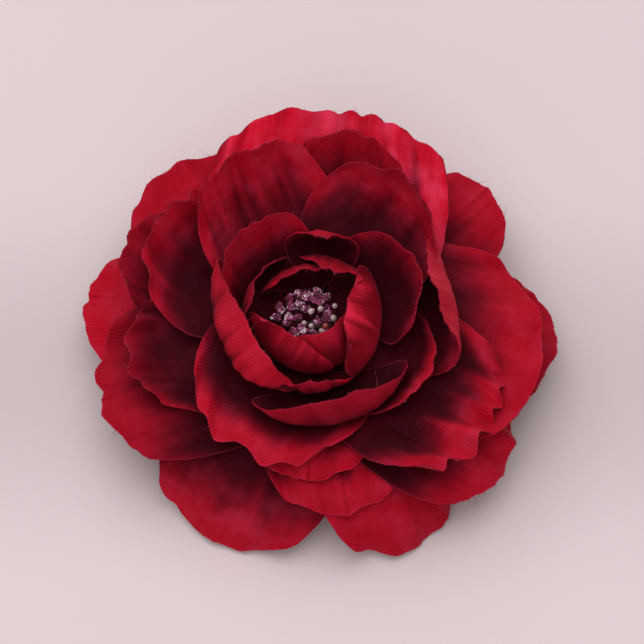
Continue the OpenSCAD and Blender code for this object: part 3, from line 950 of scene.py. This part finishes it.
def stamen_heads():
    """Places of the glitter heads, of the flakes stuck to them and of the pearls."""
    draw = np.random.RandomState(7)
    heads, flakes, pearls = [], [], []
    for i in range(STAMENS):
        tip = stamen_tip(i)
        turn = tuple(draw.uniform(-0.5, 0.5, 2)) + (draw.uniform(0, 6.28),)
        tip += Vector(draw.uniform(-0.6, 0.6, 3))
        if has_pearl(i):
            size = draw.uniform(0.75, 1.1)
            pearls.append((tip + Vector((0, 0, PEARL_R)), turn, (size, size, size)))
            continue
        centre = tip + Vector((0, 0, GLITTER_R))
        grown = draw.uniform(0.8, 1.15)
        heads.append((centre, turn, (grown, grown, draw.uniform(0.9, 1.5))))
        for _ in range(FLAKES_A_HEAD):
            way = Vector(draw.normal(size=3)).normalized()
            if way.z < -0.3:
                way.z = -way.z
            at = centre + way * GLITTER_R * draw.uniform(0.9, 1.45)
            flat = draw.uniform(1.2, 3.2)
            tilted = way + 0.55 * Vector(draw.uniform(-1, 1, 3))
            spin = Quaternion((0, 0, 1), draw.uniform(0, math.tau))
            lying = tilted.to_track_quat("Z", "Y") @ spin
            stretch = (flat, flat * draw.uniform(0.3, 0.7), 1.3)
            flakes.append((at, lying.to_euler(), stretch))
    return heads, flakes, pearls


head_places, flake_places, pearl_places = stamen_heads()
foil = glitter_finish()
anther = lumpy_bead("anther", GLITTER_R * 0.93, subdivisions=3, unevenness=0.16, seed=3)
glitter = copies("glitter_anthers", anther, head_places, foil)
bpy.ops.object.shade_smooth_by_angle(angle=math.radians(20))
flakes = copies("glitter_flakes", foil_flake(), flake_places, foil)
bead = lumpy_bead("bead", PEARL_R * 0.98, subdivisions=4, unevenness=0.02, seed=5)
pearls = copies("pearl_beads", bead, pearl_places, pearl_finish())
bpy.ops.object.shade_smooth()

for piece, slot in ((glitter, "glitter"), (flakes, "glitter"), (pearls, "pearl")):
    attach(piece, "flower")
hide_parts("glitter_tips")
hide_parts("pearl_tips")


# ---------------------------------------------------------------- felt, glue and steel


def even_grain(name, low, high, size, rough, relief):
    """Moulded plastic, thread or glue: a soft grain between two tones."""
    finish = Finish(name, Roughness=rough, Specular_IOR_Level=0.4)
    grain = finish.noise(finish.place(), size, 3, 0.6)
    finish.drive(
        Base_Color=finish.mix(grain.fade(0.3, 0.7), low, high),
        Roughness=grain.fade(0.2, 0.8, rough * 0.85, min(1, rough * 1.2)),
        Normal=finish.bump(grain, relief, 0.6),
    )
    return finish.material


def felt_finish():
    """Pressed wool felt: hairs that lie both ways, in soft clumps."""
    finish = Finish(
        "felt",
        Roughness=0.95,
        Specular_IOR_Level=0.15,
        Sheen_Weight=0.4,
        Sheen_Tint=(1.0, 0.5, 0.6, 1.0),
    )
    at = finish.place()
    hairs_along = finish.noise(at, 0.35, 3, 0.7, (1, 5, 1))
    hairs_across = finish.noise(at, 0.35, 3, 0.7, (5, 1, 1))
    hairs = hairs_along * 0.5 + hairs_across * 0.5
    clumps = finish.noise(at, 3.5, 2)
    base = finish.mix(hairs.fade(0.35, 0.65), tone(66, 8, 18), tone(122, 20, 38))
    finish.drive(
        Base_Color=finish.mix(clumps.fade(0.4, 0.7) * 0.4, base, tone(92, 10, 26)),
        Normal=finish.bump(hairs + clumps * 0.4, 0.25, 0.9),
    )
    return finish.material


def steel_finish(name, low, high, rough):
    """Nickel plated steel, drawn along the clip, with fine scratches."""
    finish = Finish(name, Metallic=1.0, Roughness=rough)
    at = finish.place()
    drawn = finish.noise(at, 0.25, 3, 0.6, (1, 40, 1))
    smudge = finish.noise(at, 5, 3, 0.55)
    scratch = finish.noise(at, 0.12, 1, 0.5, (30, 2, 1)).fade(0.68, 0.74)
    worn = drawn.fade(0.2, 0.8, rough * 0.7, rough * 1.3)
    finish.drive(
        Base_Color=finish.mix(smudge.fade(0.35, 0.7), low, high),
        Roughness=worn + smudge * 0.08 + scratch * 0.1,
        Normal=finish.bump(drawn + scratch * 0.6, 0.012, 0.5),
    )
    return finish.material


IVORY = even_grain(
    "collar_plastic", tone(206, 190, 158), tone(226, 214, 186), size=2, rough=0.45, relief=0.05
)
DARK_RED = even_grain(
    "stem_plastic", tone(60, 20, 26), tone(88, 30, 36), size=1.5, rough=0.5, relief=0.06
)
THREAD = even_grain(
    "thread", tone(70, 12, 28), tone(120, 26, 46), size=0.5, rough=0.6, relief=0.04
)
GLUE = even_grain(
    "hot_glue", tone(206, 190, 146), tone(228, 216, 180), size=3, rough=0.25, relief=0.08
)
STEEL = steel_finish("nickel", tone(196, 194, 192), tone(222, 220, 216), rough=0.2)
PIN_STEEL = steel_finish("pin_nickel", tone(180, 178, 176), tone(226, 224, 222), rough=0.26)
WIRE_STEEL = steel_finish("spring_wire", tone(150, 148, 146), tone(206, 204, 202), rough=0.3)

# Nodes of the frame that are seen as they are, in a finish of their own
for node, material in (
    ("collars", IVORY),
    ("stem", DARK_RED),
    ("stamen_threads", THREAD),
    ("hinge_pin", PIN_STEEL),
):
    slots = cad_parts[node].data.materials
    slots.clear()
    slots.append(material)


def copied_node(name, node):
    """A clean, welded copy of a node of the frame, to be finished by hand."""
    piece = new_object(name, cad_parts[node].data.copy())
    piece.data.name = name
    piece.data.materials.clear()
    start_edit(piece)
    bpy.ops.mesh.remove_doubles(threshold=2 * WELD)
    bpy.ops.mesh.dissolve_limited(angle_limit=math.radians(1))
    end_edit()
    return piece


def rounded_edges(piece, width, segments, angle):
    edges = piece.modifiers.new("edges", "BEVEL")
    edges.width = width * MM
    edges.segments = segments
    edges.limit_method = "ANGLE"
    edges.angle_limit = math.radians(angle)
    edges.use_clamp_overlap = True
    pick(piece)
    bpy.ops.object.modifier_apply(modifier=edges.name)
    bpy.ops.object.shade_smooth_by_angle(angle=math.radians(35))


for name, node, body in (
    ("plate_steel", "clip_plate", "flower"),
    ("jaw_steel", "clip_jaw", "jaw"),
):
    piece = copied_node(name, node)
    rounded_edges(piece, width=0.12, segments=2, angle=30)
    piece.data.materials.append(STEEL)
    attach(piece, body)
    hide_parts(node)


def glue_bead():
    """Set hot glue, its edge squeezed out unevenly."""
    piece = copied_node("glue_bead", "glue")
    start_edit(piece)
    bpy.ops.mesh.quads_convert_to_tris()
    bpy.ops.mesh.subdivide(number_cuts=3)
    end_edit()
    low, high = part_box("glue")
    middle = (low.z + high.z) / 2
    for point in piece.data.vertices:
        x, y = point.co.x / MM, point.co.y / MM
        swell = 0.5 * math.sin(0.9 * y + 1.0) + 0.35 * math.sin(2.3 * y + 0.4 * x)
        rim = min(1, (abs(x) / GLUE_HALF_W) ** 4 + (abs(y) / GLUE_HALF_L) ** 8)
        level = 1 - min(1, abs(point.co.z - middle) / (high.z - middle)) ** 2
        reach = (0.35 + 0.5 * level) * rim * (1 + 0.8 * swell)
        size = math.hypot(x, y) + 1e-6
        point.co.x += reach * x / size * MM
        point.co.y += reach * y / size * MM
    piece.data.materials.append(GLUE)
    pick(piece)
    bpy.ops.object.shade_smooth_by_angle(angle=math.radians(60))
    return piece


glue = glue_bead()
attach(glue, "flower")
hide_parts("glue")


def felt_disc():
    """Felt disc cut by hand, a little uneven at its rim and hairy on its faces."""
    draw = np.random.RandomState(31)
    rings, spokes = 30, 120
    wander = rim_wander(draw, np.arange(spokes) / spokes, [(0.6, 2), (0.3, 7), (0.25, 30)])
    cut = -FELT_CUT * (1 + wander)
    middle = FELT_Z + FELT_T / 2
    points, faces = [(0, 0, middle)], []
    for ring in range(1, rings + 1):
        share = ring / rings
        for spoke in range(spokes):
            r = FELT_R * share * (1 + cut[spoke] * share**3)
            turn = math.tau * spoke / spokes
            points.append((r * math.cos(turn), r * math.sin(turn), middle))
    for spoke in range(spokes):
        after = (spoke + 1) % spokes
        faces.append((0, 1 + spoke, 1 + after))
        for ring in range(rings - 1):
            a, b = 1 + ring * spokes, 1 + (ring + 1) * spokes
            faces.append((a + spoke, b + spoke, b + after, a + after))
    mesh = bpy.data.meshes.new("felt_disc")
    mesh.from_pydata((np.array(points) * MM).tolist(), [], faces)
    piece = new_object("felt_disc", mesh)
    thicken(piece, FELT_T - NAP_ROOM)
    rounded_edges(piece, width=0.25, segments=3, angle=60)
    nap = np.array([point.co for point in piece.data.vertices]) / MM
    x, y, z = nap.T
    hairs = dimples(draw, x, y, 0.9) * 0.5 + dimples(draw, x, y, 3.5) * 0.5
    nap[:, 2] -= np.sign(z - middle) * NAP * (1 + hairs)
    for point, at in zip(piece.data.vertices, nap):
        point.co = Vector(at) * MM
    mesh.materials.append(felt_finish())
    return piece


felt = felt_disc()
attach(felt, "flower")
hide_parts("felt")


# ---------------------------------------------------------------- spring

# Wire, middle radius, turns and pitch of the coil, and reach of its legs
WIRE_R = 0.3
SPRING_TURNS = 7.5
SPRING_MID = 1.4
WIRE_PITCH = 0.65
SPRING_W = SPRING_TURNS * WIRE_PITCH
STEPS_A_TURN = 24
LEG_L = 3.5


def spring_wire():
    """Torsion spring round the pin, one leg under the plate and one on the tab."""
    steps = int(SPRING_TURNS * STEPS_A_TURN)
    path = [(SPRING_W / 2, HINGE_Y + LEG_L, PLATE_Z - 2 * WIRE_R)]
    for k in range(steps + 1):
        turn = math.radians(90) + math.tau * SPRING_TURNS * k / steps
        path.append((
            SPRING_W / 2 - SPRING_W * k / steps,
            HINGE_Y + SPRING_MID * math.cos(turn),
            PIN_Z + SPRING_MID * math.sin(turn),
        ))
    path.append((-SPRING_W / 2, HINGE_Y + LEG_L, STEEL_T + 2 * WIRE_R))
    curve = bpy.data.curves.new("spring_coil", "CURVE")
    curve.dimensions = "3D"
    curve.bevel_depth = WIRE_R * MM
    curve.bevel_resolution = 2
    curve.use_fill_caps = True
    wire = curve.splines.new("POLY")
    wire.points.add(len(path) - 1)
    for point, (x, y, z) in zip(wire.points, path):
        point.co = (x * MM, y * MM, z * MM, 1)
    pick(new_object("spring_coil", curve))
    bpy.ops.object.convert(target="MESH")
    piece = bpy.context.active_object
    bpy.ops.object.shade_smooth_by_angle(angle=math.radians(60))
    piece.data.materials.clear()
    piece.data.materials.append(WIRE_STEEL)
    return piece


spring = spring_wire()
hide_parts("spring")
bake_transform(spring)


# ---------------------------------------------------------------- table, light and camera

# Painted shadow on the table: deepest along this line, at this share of the plain tone, which
# it reaches this far from it
SHADOW_BAND_Y = -2
SHADOW_BAND_HALF = 46
SHADOW_BAND_LEVEL = 0.82


def table_finish():
    """Pale pinkish paper with a painted shadow in a band across below the flower, and a little
    darker towards the back.
    """
    finish = Finish("table", Roughness=0.9, Specular_IOR_Level=0.1)
    at = finish.place()
    soft = finish.noise(at, 60, 2)
    away = finish.part(at, 1)
    # Painted shadow of the flower, in a band across the table
    shadow_band = abs(away - SHADOW_BAND_Y).fade(0, SHADOW_BAND_HALF, SHADOW_BAND_LEVEL, 1.0)
    shade = shadow_band - away.fade(-70, 90, 0.0, 0.035)
    paper = finish.mix(soft, tone(230, 213, 216), tone(227, 210, 213))
    finish.drive(Base_Color=finish.mix(1.0, paper, finish.grey(shade), "MULTIPLY"))
    return finish.material


bpy.ops.object.select_all(action="DESELECT")
bpy.ops.mesh.primitive_plane_add(size=3, location=(0, 0, TABLE_Z * MM))
table = bpy.context.active_object
table.name = "table"
table.data.materials.append(table_finish())
bpy.ops.object.transform_apply(location=True, rotation=True, scale=True)


def facing(place):
    """The turn of a lamp or camera that looks back from a place at the middle."""
    return (-Vector(place)).to_track_quat("-Z", "Y").to_euler()


def lamp(name, place, size, power):
    light = bpy.data.lights.new(name, "AREA")
    light.shape = "DISK"
    light.size = size
    light.energy = power
    holder = new_object(name, light)
    holder.location = place
    holder.rotation_euler = facing(place)


lamp("key", (-0.12, 0.38, 0.9), size=1.5, power=8.5)
lamp("fill", (-0.2, -0.65, 0.7), size=1.2, power=2.2)
world = bpy.data.worlds.new("studio")
bpy.context.scene.world = world
world.use_nodes = True
sky = world.node_tree.nodes["Background"].inputs
sky["Color"].default_value = (1.0, 0.985, 0.985, 1)
sky["Strength"].default_value = 0.36

LOOK_AT = Vector((1.6, 3.9, 9.5)) * MM
DISTANCE = 0.6
ELEVATION = math.radians(67)
lens = bpy.data.cameras.new("camera")
lens.lens = 171.06
lens.sensor_width = 36
lens.clip_start = 0.01
camera = new_object("camera", lens)
away = Vector((0, -math.cos(ELEVATION), math.sin(ELEVATION)))
camera.location = LOOK_AT + away * DISTANCE
camera.rotation_euler = facing(away)
bpy.context.scene.camera = camera
bpy.context.scene.view_settings.view_transform = "Standard"
